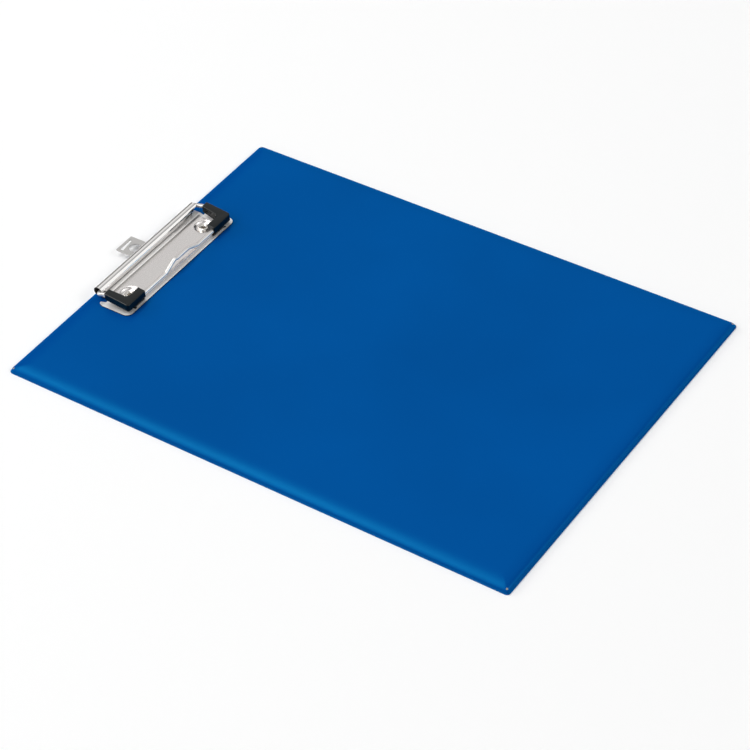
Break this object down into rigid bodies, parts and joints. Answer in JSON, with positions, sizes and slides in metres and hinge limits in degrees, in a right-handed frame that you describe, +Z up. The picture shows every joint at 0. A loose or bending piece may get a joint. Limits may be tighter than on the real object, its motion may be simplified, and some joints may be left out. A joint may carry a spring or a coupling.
{
  "type": "clipboard",
  "caption": "Flat film-covered A4 clipboard with a low plated wire clip, black grips on the clip's corners and a flat metal tab that pulls out behind it for hanging.",
  "frame": {"origin": "centre of the board's underside, on the surface that it lies on", "axes": "+X across the board to the right, +Y along the board towards the clip, +Z up out of the paper side"},
  "size_m": [0.23, 0.33, 0.0114],
  "materials": {
    "greyboard": "pressed paper board, sealed inside the cover",
    "blue_film": "soft blue PVC film with a fine leather-like grain",
    "plated_sheet": "nickel-plated steel sheet, satin to bright",
    "plated_wire": "bright nickel-plated spring wire",
    "plated_rivet": "nickel-plated tubular rivet",
    "black_grip": "black moulded plastic, semi-gloss"
  },
  "bodies": {
    "board": {"board_core": "greyboard", "top_film": "blue_film", "bottom_film": "blue_film", "clip_plate": "plated_sheet", "left_rivet": "plated_rivet", "right_rivet": "plated_rivet"},
    "lever": {"lever_wire": "plated_wire", "left_grip": "black_grip", "right_grip": "black_grip"},
    "hanger": {"hanger_tab": "plated_sheet"}
  },
  "joints": [
    {"name": "lever_hinge", "type": "hinge", "parent": "board", "child": "lever", "pos_m": [0, 0.1538, 0.0068], "axis": [-1, 0, 0], "range_deg": [0, 105], "stiffness_Nm_per_rad": 0.08, "springref_deg": -68.75},
    {"name": "hanger_slide", "type": "slide", "parent": "board", "child": "hanger", "axis": [0, -1, 0], "range_m": [0, 0.011]}
  ]
}
